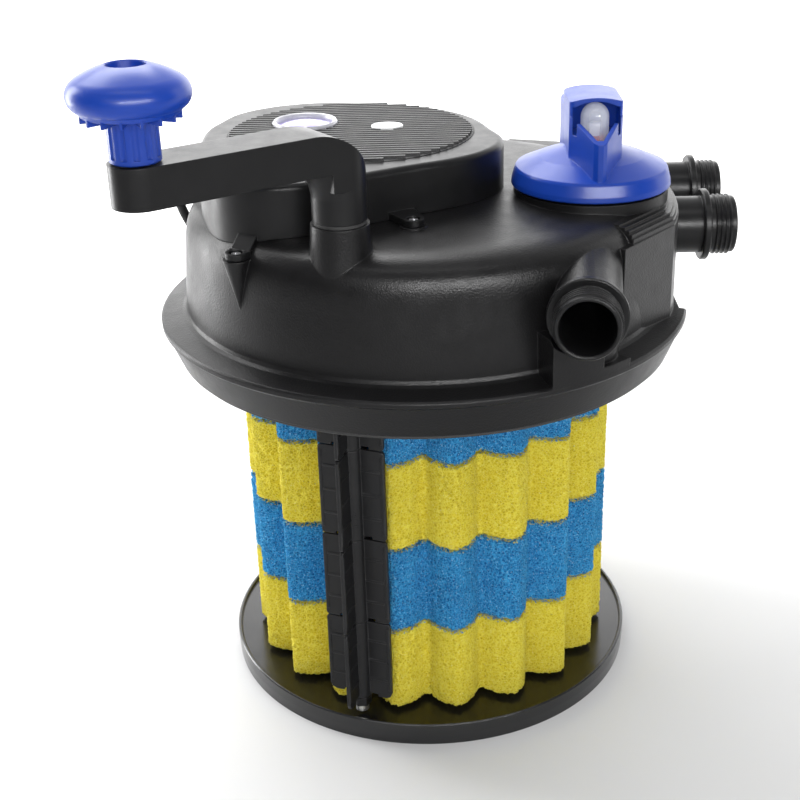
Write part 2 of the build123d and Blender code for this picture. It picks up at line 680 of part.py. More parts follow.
with BuildPart() as diffuser_plate:
    with BuildSketch(Plane.XY.offset(DIFFUSER_Z)):
        Circle(175.6)
        Circle(28, mode=Mode.SUBTRACT)
        with Locations(ROTOR):
            Circle(9, mode=Mode.SUBTRACT)
        with Locations(DIAL):
            Circle(15, mode=Mode.SUBTRACT)
        # two rings of radial slots
        with PolarLocations(70, 16):
            SlotOverall(34, 6, rotation=0, mode=Mode.SUBTRACT)
        with PolarLocations(118, 24, start_angle=4):
            SlotOverall(26, 6, rotation=0, mode=Mode.SUBTRACT)
    extrude(amount=DIFFUSER_T)
    # collar round the crank shaft
    with BuildSketch(over(ROTOR, 299.5)):
        Circle(13)
        Circle(9, mode=Mode.SUBTRACT)
    extrude(amount=4)
save(diffuser_plate, "diffuser_plate")

DIFFUSER_TOP_Z = DIFFUSER_Z + DIFFUSER_T

# tube through the diffuser into the core bush, with six windows above its flange
with BuildPart() as riser_spigot:
    with BuildSketch(Plane.XZ):
        with BuildLine():
            Polyline((21, 262), (24.0, 262), (24.0, DIFFUSER_Z), (27.9, DIFFUSER_Z),
                     (27.9, DIFFUSER_TOP_Z), (34, DIFFUSER_TOP_Z), (34, 309), (27, 309),
                     (27, 384), (23.8, 384), (23.8, 309), (21, DIFFUSER_TOP_Z), close=True)
        make_face()
    revolve(axis=Axis.Z)
    with BuildSketch(Plane.XY.offset(314)):
        with PolarLocations(25, 6):
            Rectangle(12, 16)
    extrude(amount=22, mode=Mode.SUBTRACT)
save(riser_spigot, "riser_spigot")

# ring on the riser below the core bush
turned("carrier_retainer", [(24.0, 264), (25.7, 264), (25.7, 273.6), (24.0, 273.6)])

BUSH_BORE_R = SHAFT_R + 0.05
turned("crank_bush", [
    (BUSH_BORE_R, 368), (8.98, 368), (8.98, 401.5), (11.5, 401.5), (11.5, 403.0),
    (BUSH_BORE_R, 403.0),
], ROTOR)

SEAL_BORE_R = SHAFT_R + 0.06
turned("crank_seal", [
    (SEAL_BORE_R, 403.1), (14.9, 403.1), (14.9, 405.1), (17.4, 405.1), (17.4, 407.2),
    (SEAL_BORE_R, 407.2),
], ROTOR)

# ================================================================= hose ports
THREAD_TURNS = 4
THREAD_PITCH = 3.4
WASTE_START = 36.2
INLET_START_X = 166
OUTLET_START_X = 112
OUTLET_WIDE_BORE_R = 19.2     # inner end of the outlet's bore


def port_outside(start, end):
    """(radius, distance) points along a port: pipe, collar, thread rings, mouth."""
    root = PIPE_R + 0.1
    points = [(PIPE_R, start), (PIPE_R, end - 25.4), (COLLAR_R - 0.8, end - 25.4),
              (COLLAR_R, end - 24.6), (COLLAR_R, end - 21.0), (COLLAR_R - 0.8, end - 20.2),
              (root, end - 20.2)]
    for turn in range(THREAD_TURNS):
        foot = end - 16.4 + turn * THREAD_PITCH
        points += [(root, foot), (THREAD_R, foot + 0.9), (THREAD_R, foot + 1.5),
                   (root, foot + 2.4)]
    points += [(root, end - 1.0), (root - 0.9, end), (PORT_BORE_R + 0.9, end),
               (PORT_BORE_R, end - 0.9)]
    return points


def hose_port(name, origin, direction, section):
    """Build and save a port turned about the level axis through origin."""
    x_part, y_part = direction
    with BuildPart() as port:
        with BuildSketch(Plane(origin=(*origin, PORT_Z), x_dir=(y_part, -x_part, 0),
                               z_dir=(0, 0, 1))):
            with BuildLine():
                Polyline(*section, close=True)
            make_face()
        revolve(axis=Axis((*origin, PORT_Z), (x_part, y_part, 0)))
    save(port, name)


hose_port("waste_port", DIAL, (WASTE_DX, WASTE_DY),
          port_outside(WASTE_START, WASTE_LEN) + [(PORT_BORE_R, WASTE_START)])
hose_port("inlet_port", (0, INLET_Y), (1, 0),
          port_outside(INLET_START_X, INLET_END_X) + [(PORT_BORE_R, INLET_START_X)])
hose_port("outlet_port", (0, OUTLET_Y), (1, 0),
          port_outside(OUTLET_START_X, OUTLET_END_X)
          + [(PORT_BORE_R, 170), (OUTLET_WIDE_BORE_R, 170.7),
             (OUTLET_WIDE_BORE_R, OUTLET_START_X)])

# ====================================================================== valve
CHAMBER_R, CHAMBER_BORE_R = 35, 31
CHAMBER_FOOT_Z, CHAMBER_FLOOR_T = 315, 3
STEM_R = 7.0
STEM_HOLE_R = STEM_R + 0.1

with BuildPart() as valve_chamber:
    # wall, then the floor with its holes
    with BuildSketch(over(DIAL, CHAMBER_FOOT_Z + CHAMBER_FLOOR_T)):
        Circle(CHAMBER_R)
        Circle(CHAMBER_BORE_R, mode=Mode.SUBTRACT)
    extrude(amount=69)
    with BuildSketch(over(DIAL, CHAMBER_FOOT_Z)):
        Circle(CHAMBER_R)
        Circle(10, mode=Mode.SUBTRACT)
        with PolarLocations(21, 6):
            Circle(5, mode=Mode.SUBTRACT)
    extrude(amount=CHAMBER_FLOOR_T)
    # windows towards the waste port and towards +X
    with BuildSketch(waste_plane(0)):
        Circle(PORT_BORE_R)
    extrude(amount=40, mode=Mode.SUBTRACT)
    with BuildSketch(side_plane(*DIAL)):
        Circle(PORT_BORE_R)
    extrude(amount=40, mode=Mode.SUBTRACT)
save(valve_chamber, "valve_chamber")

# hub and outer wall joined by three webs, with one window towards +X
with BuildPart() as valve_rotor:
    with BuildSketch(over(DIAL, 320)):
        Circle(CHAMBER_BORE_R - 0.05)
        Circle(27, mode=Mode.SUBTRACT)
        Circle(11)
        with PolarLocations(19, 3, start_angle=45):
            Rectangle(18, 4)
        Circle(STEM_HOLE_R, mode=Mode.SUBTRACT)
    extrude(amount=60)
    with BuildSketch(side_plane(*DIAL)):
        Circle(PORT_BORE_R - 1)
    extrude(amount=40, mode=Mode.SUBTRACT)
    with BuildSketch(over(DIAL, 319)):
        Circle(STEM_HOLE_R)
    extrude(amount=62, mode=Mode.SUBTRACT)
save(valve_rotor, "valve_rotor")

with BuildPart() as valve_stem:
    with BuildSketch(over(DIAL, 304)):
        Circle(STEM_R)
    extrude(amount=108)
    chamfer(valve_stem.edges().group_by(Axis.Z)[-1], 0.8)
save(valve_stem, "valve_stem")

with BuildPart() as valve_nut:
    with BuildSketch(over(DIAL, 306)):
        RegularPolygon(12, 6)
        Circle(STEM_R, mode=Mode.SUBTRACT)
    extrude(amount=6)
save(valve_nut, "valve_nut")

STEM_BUSH_BORE_R = STEM_R + 0.06
turned("stem_bush", [
    (STEM_BUSH_BORE_R, 387.5), (11.95, 387.5), (11.95, 399), (15, 399), (15, 400.6),
    (STEM_BUSH_BORE_R, 400.6),
], DIAL)

# ============================================================== selector dial
DIAL_R = 57.7
HOOD_FOOT_Z, HOOD_TOP_Z = 440.0, 461.0
CAPSULE_SEAT_Z = 423.5
# (radius, z) of the dial's domed disc and its socket for the stem
DIAL_SECTION = [
    (STEM_R, 403), (12.5, 403), (12.5, 412), (30, 410.5), (47.5, 404.5), (53.6, 402),
    (54.6, 395), (57.2, 395), (DIAL_R, 395.8), (57.4, 399), (55.3, 406.6), (54.2, 408.4),
    (51.8, 409.4), (38, 415.4), (20, 420.9), (0, 421.6), (0, 412), (STEM_R, 412),
]
# (x, y) plan of the grip bar from the dial axis: pointed at the front, blunt at the back
BAR_PLAN = [
    (-18.8, -21), (-4.6, -50.5), (-1.7, -53.2), (1.7, -53.2), (4.6, -50.5), (18.8, -21),
    (18.8, 40), (17.0, 50.8), (14.8, 52.4), (-14.8, 52.4), (-17.0, 50.8), (-18.8, 40),
]
# (x, y) plans of the hollow in the prow, at its floor and at its top
PROW_FLOOR = [(-7.0, -14), (-9.0, -26), (-2.0, -46), (2.0, -46), (9.0, -26), (7.0, -14)]
PROW_TOP = [(-16.4, -14), (-16.4, -23), (-2.6, -50.6), (2.6, -50.6), (16.4, -23), (16.4, -14)]

with BuildPart() as selector_dial:
    with BuildSketch(upright(0, DIAL)):
        with BuildLine():
            Polyline(*DIAL_SECTION, close=True)
        make_face()
    revolve(axis=vertical_axis(DIAL))
    # grip bar, boat shaped in plan
    with BuildSketch(over(DIAL, 405)):
        with BuildLine():
            Polyline(*BAR_PLAN, close=True)
        make_face()
    extrude(amount=43)
    # its top slopes down to the front; here local x runs forwards and local y down
    with BuildSketch(Plane(origin=(DIAL[0] - 25, DIAL[1], 0),
                           x_dir=(0, -1, 0), z_dir=(1, 0, 0))):
        with BuildLine():
            Polyline((20, -449), (60, -432), (60, -470), (20, -470), close=True)
        make_face()
    extrude(amount=50, mode=Mode.SUBTRACT)
    # hood over the indicator, its top slightly crowned
    with BuildSketch(over(DIAL, HOOD_FOOT_Z)):
        RectangleRounded(37.6, 46, 4)
    extrude(amount=HOOD_TOP_Z - HOOD_FOOT_Z)
    with BuildSketch(upright(0, DIAL)):
        with BuildLine():
            ThreePointArc((-20, 457.6), (0, HOOD_TOP_Z - 0.2), (20, 457.6))
            Polyline((20, 457.6), (20, 470), (-20, 470), (-20, 457.6))
        make_face()
    extrude(amount=40, both=True, mode=Mode.SUBTRACT)
    # seat of the clear capsule
    with BuildSketch(over(CAPSULE, CAPSULE_SEAT_Z)):
        Circle(12.4)
    extrude(amount=20, mode=Mode.SUBTRACT)
    # the prow is hollow, its walls meet in a V seen from the front
    for z, outline in ((425.5, PROW_FLOOR), (450, PROW_TOP)):
        with BuildSketch(over(DIAL, z)):
            with BuildLine():
                Polyline(*outline, close=True)
            make_face()
    loft(mode=Mode.SUBTRACT)
    # round-backed hollow of the hood, arched at the top, open to the front
    with BuildSketch(over(DIAL, 436)):
        with BuildLine():
            Polyline((-16.6, -12), (-16.6, -30), (16.6, -30), (16.6, -12))
            EllipticalCenterArc((0, -12), 16.6, 10.5, start_angle=0, arc_size=180)
        make_face()
    extrude(amount=18.6, mode=Mode.SUBTRACT)
    with BuildSketch(upright(0, (DIAL[0], DIAL[1] - 3.4))):
        with BuildLine():
            ThreePointArc((-15.4, 454.2), (0, 458.2), (15.4, 454.2))
            Line((15.4, 454.2), (-15.4, 454.2))
        make_face()
    extrude(amount=38, mode=Mode.SUBTRACT)
    # hollow in the underside of the bar, behind the axis
    with BuildSketch(over((DIAL[0], DIAL[1] + 36), 404)):
        RectangleRounded(30, 24, 3)
    extrude(amount=40, mode=Mode.SUBTRACT)
    # stem socket
    with BuildSketch(over(DIAL, 400)):
        Circle(STEM_R)
    extrude(amount=12, mode=Mode.SUBTRACT)
save(selector_dial, "selector_dial")

# ================================================================== indicator
CAPSULE_R = 10.0
CAPSULE_BORE_R = 8.3
CAPSULE_FOOT_Z = 424.6
CAPSULE_DOME_Z = 446.0        # centre of the domed top

# clear domed tube on a flange
with BuildPart() as indicator_capsule:
    with BuildSketch(upright(0, CAPSULE)):
        with BuildLine():
            Polyline((CAPSULE_BORE_R, CAPSULE_FOOT_Z), (11.6, CAPSULE_FOOT_Z), (11.6, 426.4),
                     (CAPSULE_R, 426.4), (CAPSULE_R, CAPSULE_DOME_Z))
            CenterArc((0, CAPSULE_DOME_Z), CAPSULE_R, 0, 90)
            Line((0, CAPSULE_DOME_Z + CAPSULE_R), (0, CAPSULE_DOME_Z + CAPSULE_BORE_R))
            CenterArc((0, CAPSULE_DOME_Z), CAPSULE_BORE_R, 0, 90)
            Line((CAPSULE_BORE_R, CAPSULE_DOME_Z), (CAPSULE_BORE_R, CAPSULE_FOOT_Z))
        make_face()
    revolve(axis=vertical_axis(CAPSULE))
save(indicator_capsule, "indicator_capsule")

with BuildPart() as capsule_seal:
    with BuildSketch(over(CAPSULE, CAPSULE_SEAT_Z + 0.05)):
        Circle(11.4)
        Circle(8.4, mode=Mode.SUBTRACT)
    extrude(amount=1.0)
save(capsule_seal, "capsule_seal")

# red float with its clear stem
FLOAT_FOOT_Z, FLOAT_TOP_Z = 424.8, 433.2
turned("float_body", [
    (0, FLOAT_FOOT_Z), (5.4, FLOAT_FOOT_Z), (7.4, 426.2), (7.9, 428.2), (7.7, 430.2),
    (6.8, 432.2), (5.4, FLOAT_TOP_Z), (0, FLOAT_TOP_Z),
], CAPSULE)

with BuildPart() as float_stem:
    with BuildSketch(over(CAPSULE, FLOAT_TOP_Z)):
        Circle(5.3)
    extrude(amount=8.8)
    fillet(float_stem.edges().group_by(Axis.Z)[-1], 1.4)
save(float_stem, "float_stem")

# ============================================================ ballast housing
# (x, y) plan of the housing wall, clockwise seen from above
HOUSING_PLAN = [
    (61, 0), (57, -24), (44, -46), (22, -64), (-7, -79), (-35, -95),
    (-75, -115), (-108, -118), (-136, -101), (-153, -66), (-160, -32), (-163, 10),
    (-162, 45), (-156, 66), (-148, 88), (-133, 106), (-108, 121), (-75, 127),
    (-43, 121), (-3, 108), (26, 86), (46, 54), (56, 20),
]
HOUSING_FOOT_Z = 366.0
HOUSING_WALL = 3.0
HOUSING_TOP_T = 3.2
HOUSING_CENTRE = (-55, 5)     # the screw tabs point away from here
TAB_T = 4.8
TAB_R = 7.4
TAB_ROOT_HALF_W, TAB_LEN = 12, 32
DOME_CUT_Z = 349              # lower end of the cut that follows the dome
DOME_GAP = 0.3

GRILLE = (-52.0, 22.0)
GRILLE_R = 92.0
GRILLE_SEAT_Z = HOUSING_TOP_Z - 1.6
GRILLE_FACE_Z = HOUSING_TOP_Z + 0.4
LENS = (-88.0, 45.0)
BADGE = (-25, 30)
CABLE_Y, CABLE_Z = 20, 400


def cable_plane(x):
    """Plane square to the cable's exit on the left side, facing -X."""
    return Plane(origin=(x, CABLE_Y, CABLE_Z), x_dir=(0, -1, 0), z_dir=(-1, 0, 0))


def inset_loop(points, inset):
    """Points of a clockwise loop, each moved inwards square to its neighbours' chord."""
    moved = []
    for i, (x, y) in enumerate(points):
        before, after = points[i - 1], points[(i + 1) % len(points)]
        run_x, run_y = after[0] - before[0], after[1] - before[1]
        run = hypot(run_x, run_y)
        moved.append((x + inset * run_y / run, y - inset * run_x / run))
    return moved


with BuildPart() as ballast_housing:
    with BuildSketch(Plane.XY.offset(HOUSING_FOOT_Z)):
        with BuildLine():
            Spline(*HOUSING_PLAN, periodic=True)
        make_face()
    extrude(amount=HOUSING_TOP_Z - HOUSING_FOOT_Z)
    fillet(ballast_housing.edges().group_by(Axis.Z)[-1], 4.5)
    # screw tabs, round at the screw and widening towards the wall
    for x, y, z in PADS:
        to_x, to_y = HOUSING_CENTRE[0] - x, HOUSING_CENTRE[1] - y
        distance = hypot(to_x, to_y)
        in_x, in_y = to_x / distance, to_y / distance
        root_x, root_y = x + in_x * TAB_LEN, y + in_y * TAB_LEN
        with BuildSketch(Plane.XY.offset(z - 8)):
            with Locations((x, y)):
                Circle(TAB_R)
            with BuildLine():
                Polyline((x - in_y * TAB_R, y + in_x * TAB_R),
                         (x + in_y * TAB_R, y - in_x * TAB_R),
                         (root_x + in_y * TAB_ROOT_HALF_W, root_y - in_x * TAB_ROOT_HALF_W),
                         (root_x - in_y * TAB_ROOT_HALF_W, root_y + in_x * TAB_ROOT_HALF_W),
                         close=True)
            make_face()
        extrude(amount=8 + TAB_T)
        # the tab on the shoulder of the dome climbs to the wall on a ramp
        if z < LOW_PAD_Z:
            with BuildSketch(Plane(origin=(x, y, 0), x_dir=(in_x, in_y, 0),
                                   z_dir=(in_y, -in_x, 0))):
                with BuildLine():
                    Polyline((3, z - 6), (3, z + TAB_T), (5, z + TAB_T), (14, z + 12.5),
                             (26, z + 12.5), (26, z - 6), close=True)
                make_face()
            extrude(amount=TAB_R, both=True)
    # hollow inside
    with BuildSketch(Plane.XY.offset(360)):
        with BuildLine():
            Spline(*inset_loop(HOUSING_PLAN, HOUSING_WALL), periodic=True)
        make_face()
    extrude(amount=HOUSING_TOP_Z - HOUSING_TOP_T - 360, mode=Mode.SUBTRACT)
    # underside follows the dome
    with BuildSketch(Plane.XZ):
        with BuildLine():
            Polyline(*[point for point in dome_points(-DOME_GAP) if point[1] > DOME_CUT_Z],
                     (184, DOME_CUT_Z), (0, DOME_CUT_Z), close=True)
        make_face()
    revolve(axis=Axis.Z, mode=Mode.SUBTRACT)
    # at each screw: clearance round the pad, screw hole, counterbore
    for x, y, z in PADS:
        with BuildSketch(over((x, y), 350)):
            Circle(9.9)
        extrude(amount=z + 0.3 - 350, mode=Mode.SUBTRACT)
        with BuildSketch(over((x, y), 350)):
            Circle(2.2)
        extrude(amount=60, mode=Mode.SUBTRACT)
        with BuildSketch(over((x, y), z + 1.6)):
            Circle(4.9)
        extrude(amount=12, mode=Mode.SUBTRACT)
    # grille recess, hole under the lens, cable gland hole
    with BuildSketch(over(GRILLE, GRILLE_SEAT_Z)):
        Circle(GRILLE_R + 0.3)
    extrude(amount=3, mode=Mode.SUBTRACT)
    with BuildSketch(over(LENS, 415)):
        Circle(20)
    extrude(amount=12, mode=Mode.SUBTRACT)
    with BuildSketch(cable_plane(-150)):
        Circle(6.0)
    extrude(amount=30, mode=Mode.SUBTRACT)
save(ballast_housing, "ballast_housing")

with BuildPart() as housing_screws:
    for x, y, z in PADS:
        with BuildSketch(over((x, y), z + 1.65)):
            Circle(4.0)
        extrude(amount=2.2, taper=20)
        with BuildSketch(over((x, y), z - 10)):
            Circle(1.78)
        extrude(amount=11.65)
    for x, y, z in PADS:
        with BuildSketch(over((x, y), z + 2.7)):
            cross(4.6, 0.9)
        extrude(amount=2, mode=Mode.SUBTRACT)
save(housing_screws, "housing_screws")

GRILLE_RIB_PITCH = 6.1
GRILLE_RIB_W = 3.2

with BuildPart() as vent_grille:
    with BuildSketch(over(GRILLE, HOUSING_TOP_Z - 1.5)):
        Circle(GRILLE_R)
    extrude(amount=1.9)
    # parallel ribs along X, cut off square just inside the rim
    with BuildSketch(over(GRILLE, GRILLE_FACE_Z)):
        for k in range(-14, 15):
            y = k * GRILLE_RIB_PITCH
            far_edge = abs(y) + GRILLE_RIB_W / 2
            with Locations((0, y)):
                Rectangle(2 * sqrt((GRILLE_R - 1.2) ** 2 - far_edge ** 2), GRILLE_RIB_W)
    extrude(amount=1.8)
    # openings for the lens and the badge
    with BuildSketch(over(LENS, 415)):
        Circle(25.3)
    extrude(amount=20, mode=Mode.SUBTRACT)
    with BuildSketch(over(BADGE, GRILLE_FACE_Z)):
        Ellipse(12.6, 10.4)
    extrude(amount=5, mode=Mode.SUBTRACT)
save(vent_grille, "vent_grille")

LENS_FOOT_Z = GRILLE_SEAT_Z + 0.05
LENS_R = 20.9
BEZEL_BORE_R = LENS_R + 0.1

turned("lens_bezel", [
    (BEZEL_BORE_R, LENS_FOOT_Z), (25.0, LENS_FOOT_Z), (25.0, 427.0), (23.8, 428.6),
    (22.2, 428.2), (BEZEL_BORE_R, 426.2),
], LENS)

with BuildPart() as glow_lens:
    with BuildSketch(upright(0, LENS)):
        with BuildLine():
            Line((0, LENS_FOOT_Z), (LENS_R, LENS_FOOT_Z))
            Line((LENS_R, LENS_FOOT_Z), (LENS_R, 424.6))
            Spline((LENS_R, 424.6), (12.0, 426.6), (0, 427.4), tangents=((-1, 0.3), (-1, 0)))
            Line((0, 427.4), (0, LENS_FOOT_Z))
        make_face()
    revolve(axis=vertical_axis(LENS))
save(glow_lens, "glow_lens")

with BuildPart() as blank_badge:
    with BuildSketch(over(BADGE, GRILLE_FACE_Z + 0.05)):
        Ellipse(12.2, 10.0)
    extrude(amount=2.6)
    fillet(blank_badge.edges().group_by(Axis.Z)[-1], 0.9)
save(blank_badge, "blank_badge")

# =========================================================== ballast and cable
BOARD = (-80, 5)
BOARD_Z = 392.5
BOARD_T = 1.8

# electronic ballast low in the housing: board, six blocks, two round parts
with BuildPart() as ballast_board:
    with BuildSketch(over(BOARD, BOARD_Z)):
        RectangleRounded(92, 116, 4)
    extrude(amount=BOARD_T)
    with BuildSketch(over(BOARD, BOARD_Z + BOARD_T)):
        with GridLocations(44, 36, 2, 3):
            Rectangle(20, 18)
    extrude(amount=13)
    with BuildSketch(over(BOARD, BOARD_Z + BOARD_T)):
        with GridLocations(0, 52, 1, 2):
            Circle(7)
    extrude(amount=19)
save(ballast_board, "ballast_board")

# threaded end, hexagon, tapered nose and the cable's hole
with BuildPart() as cable_gland:
    with BuildSketch(cable_plane(-158.8)):
        Circle(5.95)
    extrude(amount=9)
    with BuildSketch(cable_plane(-163.8)):
        RegularPolygon(8.6, 6)
    extrude(amount=5)
    with BuildSketch(cable_plane(-168.8)):
        Circle(6.4)
    extrude(amount=5, taper=14)
    with BuildSketch(cable_plane(-150)):
        Circle(3.7)
    extrude(amount=40, mode=Mode.SUBTRACT)
save(cable_gland, "cable_gland")

# (x, y, z) along the cable from the gland down the outside of the lid
CABLE_BEND = [
    (-175, CABLE_Y, CABLE_Z), (-187, 31, 394), (-191, 46, 376), (-188.5, 58, 352),
    (-183, 74, 328), (-174, 94, 310),
]

with BuildPart() as power_cable:
    with BuildLine() as cable_path:
        Line((-150, CABLE_Y, CABLE_Z), CABLE_BEND[0])
        Spline(*CABLE_BEND, tangents=((-1, 0, 0), (0.4, 0.7, -0.6)))
    with BuildSketch(cable_plane(-150)):
        Circle(3.65)
    sweep(path=cable_path.wires()[0])
save(power_cable, "power_cable")

# ==================================================================== UV lamp
LAMP_TOP_Z = 351.9
SLEEVE_R = 13.0
SLEEVE_TOP_Z = 348.9
SLEEVE_NUT_FOOT_Z = 338

turned("lamp_socket", [
    (0, 352), (11.5, 352), (11.5, 349), (20.5, 349), (20.5, 383), (21.8, 383),
    (21.8, 391.5), (30, 391.5), (30, 396.5), (26, 398.5), (7, 398.5), (7, 402), (0, 402),
])

turned("uv_lamp", [
    (0, 62), (5.5, 62), (7.5, 65), (7.5, 328), (9.5, 328), (9.5, LAMP_TOP_Z),
    (0, LAMP_TOP_Z),
])

# thin tube closed by a rounded end at the foot
turned("quartz_sleeve", [
    (0, 48), (7, 49.5), (11.5, 53.5), (SLEEVE_R, 60), (SLEEVE_R, SLEEVE_TOP_Z),
    (11.6, SLEEVE_TOP_Z), (11.6, 61), (10, 55.2), (6.2, 51.2), (0, 49.8),
])

# ring round the top of the sleeve, with grip flutes
with BuildPart() as sleeve_nut:
    with BuildSketch(upright(0)):
        with BuildLine():
            Polyline((SLEEVE_R + 0.1, SLEEVE_NUT_FOOT_Z), (20.2, SLEEVE_NUT_FOOT_Z),
                     (20.2, SLEEVE_TOP_Z), (SLEEVE_R + 0.1, SLEEVE_TOP_Z), close=True)
        make_face()
    revolve(axis=Axis.Z)
    with BuildSketch(Plane.XY.offset(SLEEVE_NUT_FOOT_Z)):
        with PolarLocations(20.6, 18):
            Circle(1.0)
    extrude(amount=SLEEVE_TOP_Z - SLEEVE_NUT_FOOT_Z, mode=Mode.SUBTRACT)
save(sleeve_nut, "sleeve_nut")
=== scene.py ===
"""Filter unit with a crank, a glowing lens, a UV lamp and four stacked foam rings.

Metres, +Z up. The foam rings share the Z axis and are numbered from the bottom up. The unit
stands on the floor plane z = 0, and its front faces the camera on the -Y side.
"""
import itertools
import math

import bmesh
import bpy
import numpy as np
from mathutils import Matrix, Vector


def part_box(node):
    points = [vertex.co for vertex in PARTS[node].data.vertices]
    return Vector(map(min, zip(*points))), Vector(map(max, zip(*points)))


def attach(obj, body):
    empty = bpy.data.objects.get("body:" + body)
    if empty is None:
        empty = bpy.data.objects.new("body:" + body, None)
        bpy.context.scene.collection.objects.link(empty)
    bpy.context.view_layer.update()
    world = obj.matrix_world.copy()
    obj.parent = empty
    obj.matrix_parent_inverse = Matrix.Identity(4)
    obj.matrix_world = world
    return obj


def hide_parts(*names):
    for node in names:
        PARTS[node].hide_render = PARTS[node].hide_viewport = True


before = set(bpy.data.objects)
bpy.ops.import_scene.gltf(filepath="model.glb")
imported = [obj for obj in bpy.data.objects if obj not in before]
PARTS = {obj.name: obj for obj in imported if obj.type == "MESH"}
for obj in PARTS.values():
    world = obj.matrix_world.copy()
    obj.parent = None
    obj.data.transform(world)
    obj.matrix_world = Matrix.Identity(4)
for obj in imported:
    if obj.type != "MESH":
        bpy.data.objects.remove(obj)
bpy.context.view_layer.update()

scene = bpy.context.scene

SHARP_ANGLE = math.radians(32)  # edges of the CAD pieces above this stay crisp

# ---------------------------------------------------------------- foam sizes
# "shader" holds the colours and texture scale, "cell" and "depth" the size of the modelled
# pores; strays are strands of the neighbouring ring's colour.
# Some shader colours are painted light: the darkest is painted shade in the cells, and two
# pale ones paint backlight on edge-on strands and glints on the struts.
FOAMS = {
    "yellow": dict(
        shader=dict(
            strut=(0.98, 0.86, 0.10), middle=(0.86, 0.68, 0.020), painted_cell_shade=(0.50, 0.34, 0.002),
            painted_backlight=(1.0, 0.86, 0.20), stray=(0.03, 0.30, 0.75),
            painted_glint=(1.0, 0.96, 0.50), painted_glint_amount=0.45, web_scale=430),
        cell=0.0031, depth=0.0024),
    "blue": dict(
        shader=dict(
            strut=(0.055, 0.42, 0.80), middle=(0.006, 0.165, 0.50), painted_cell_shade=(0.001, 0.032, 0.14),
            painted_backlight=(0.1805, 0.665, 0.95), stray=(0.88, 0.74, 0.05),
            painted_glint=(0.50, 0.85, 1.0), painted_glint_amount=0.60, web_scale=450),
        cell=0.0028, depth=0.0028),
}
RING_TINTS = ("yellow", "blue", "yellow", "blue")  # bottom to top
RING_COLUMNS = 1240     # steps round a ring
RING_ROWS = 66          # heights up the outer wall, before its two end rows are dropped
RING_GAP = 0.0001       # taken off each end of a ring
RING_SWELL = 0.0002     # added to the outline radius
BORE_RADIUS = 0.0325
LIP_INSET = 0.0022      # where the end faces meet the outer wall
LIP_RISE = 0.0002
ROUNDING = 0.0007       # how far the outer wall turns in at its ends
ROUNDING_REACH = 0.0016
RAGGED_SHIFT = 0.0022   # how far open cells move the cut edges
RAGGED_REACH = 0.003
OUTLINE_SAMPLES = 20001
SMOOTHING_WINDOW = 121  # outline samples


# -------------------------------------------------------------- shader graphs
class Graph:
    """The node tree of a material or world. Inputs take plain values or other sockets."""

    def __init__(self, owner, output="OutputMaterial", shader="BsdfPrincipled",
                 coordinates="Object"):
        owner.use_nodes = True
        self.owner = owner
        self.tree = owner.node_tree
        self.tree.nodes.clear()
        end = self.node(output)
        self.shader = self.node(shader)
        self.feed(end, {0: self.shader.outputs[0]})
        self.place = self.node("TexCoord").outputs[coordinates]

    def feed(self, node, inputs):
        for key, value in inputs.items():
            socket = node.inputs[key]
            if isinstance(value, bpy.types.NodeSocket):
                self.tree.links.new(value, socket)
            elif socket.type == "RGBA":
                socket.default_value = (*value, 1)
            else:
                socket.default_value = value

    def node(self, kind, inputs=None, **settings):
        node = self.tree.nodes.new("ShaderNode" + kind)
        for key, value in settings.items():
            setattr(node, key, value)
        self.feed(node, inputs or {})
        return node

    def shade(self, inputs):
        self.feed(self.shader, inputs)

    def noise(self, scale, detail=4, rough=0.55, place=None, output="Fac"):
        inputs = {"Scale": scale, "Detail": detail, "Roughness": rough,
                  "Vector": place or self.place}
        return self.node("TexNoise", inputs).outputs[output]

    def cells(self, scale, feature="F1", place=None):
        inputs = {"Scale": scale, "Vector": place or self.place}
        return self.node("TexVoronoi", inputs, feature=feature).outputs["Distance"]

    def ramp(self, value, stops):
        """Stops are (position, grey level or colour)."""
        node = self.node("ValToRGB", {"Fac": value})
        elements = node.color_ramp.elements
        while len(elements) < len(stops):
            elements.new(0.5)
        for element, (position, color) in zip(elements, stops):
            element.position = position
            element.color = (*color, 1) if isinstance(color, tuple) else (color,) * 3 + (1,)
        return node.outputs["Color"]

    def remap(self, value, span, to=(0.0, 1.0)):
        """Carries the range span onto the range to, clamped."""
        inputs = {"From Min": span[0], "From Max": span[1], "To Min": to[0], "To Max": to[1],
                  "Value": value}
        return self.node("MapRange", inputs).outputs["Result"]

    def math(self, operation, first, second):
        return self.node("Math", {0: first, 1: second}, operation=operation).outputs[0]

    def vector(self, operation, *values):
        return self.node("VectorMath", dict(enumerate(values)), operation=operation)

    def mix(self, amount, first, second, blend="MIX"):
        # 0, 6 and 7 are the factor and the two colours
        inputs = {0: amount, 6: first, 7: second}
        return self.node("Mix", inputs, data_type="RGBA", blend_type=blend).outputs[2]

    def bump(self, height, strength, distance, normal=None):
        inputs = {"Strength": strength, "Distance": distance, "Height": height}
        if normal is not None:
            inputs["Normal"] = normal
        return self.node("Bump", inputs).outputs["Normal"]

    def axes(self):
        return self.node("SeparateXYZ", {0: self.place}).outputs

    def facing(self, blend):
        return self.node("LayerWeight", {"Blend": blend}).outputs["Facing"]

    def camera_ray(self):
        return self.node("LightPath").outputs["Is Camera Ray"]


def new_graph(name):
    return Graph(bpy.data.materials.new(name))


def shifted(color, factor=1.0, offset=0.0):
    return tuple(min(1, channel * factor + offset) for channel in color)


# ------------------------------------------------------------------ materials
def edge_wear_and_highlight(graph):
    """Wear and painted edge highlight, 0 on flats and up to 1 where the surface turns sharply,
    and the rounded normal.
    """
    rounded = graph.node("Bevel", {"Radius": 0.0012}, samples=4).outputs[0]
    normal = graph.node("NewGeometry").outputs["Normal"]
    agreement = graph.vector("DOT_PRODUCT", rounded, normal).outputs["Value"]
    return graph.remap(agreement, span=(1.0, 0.86)), rounded


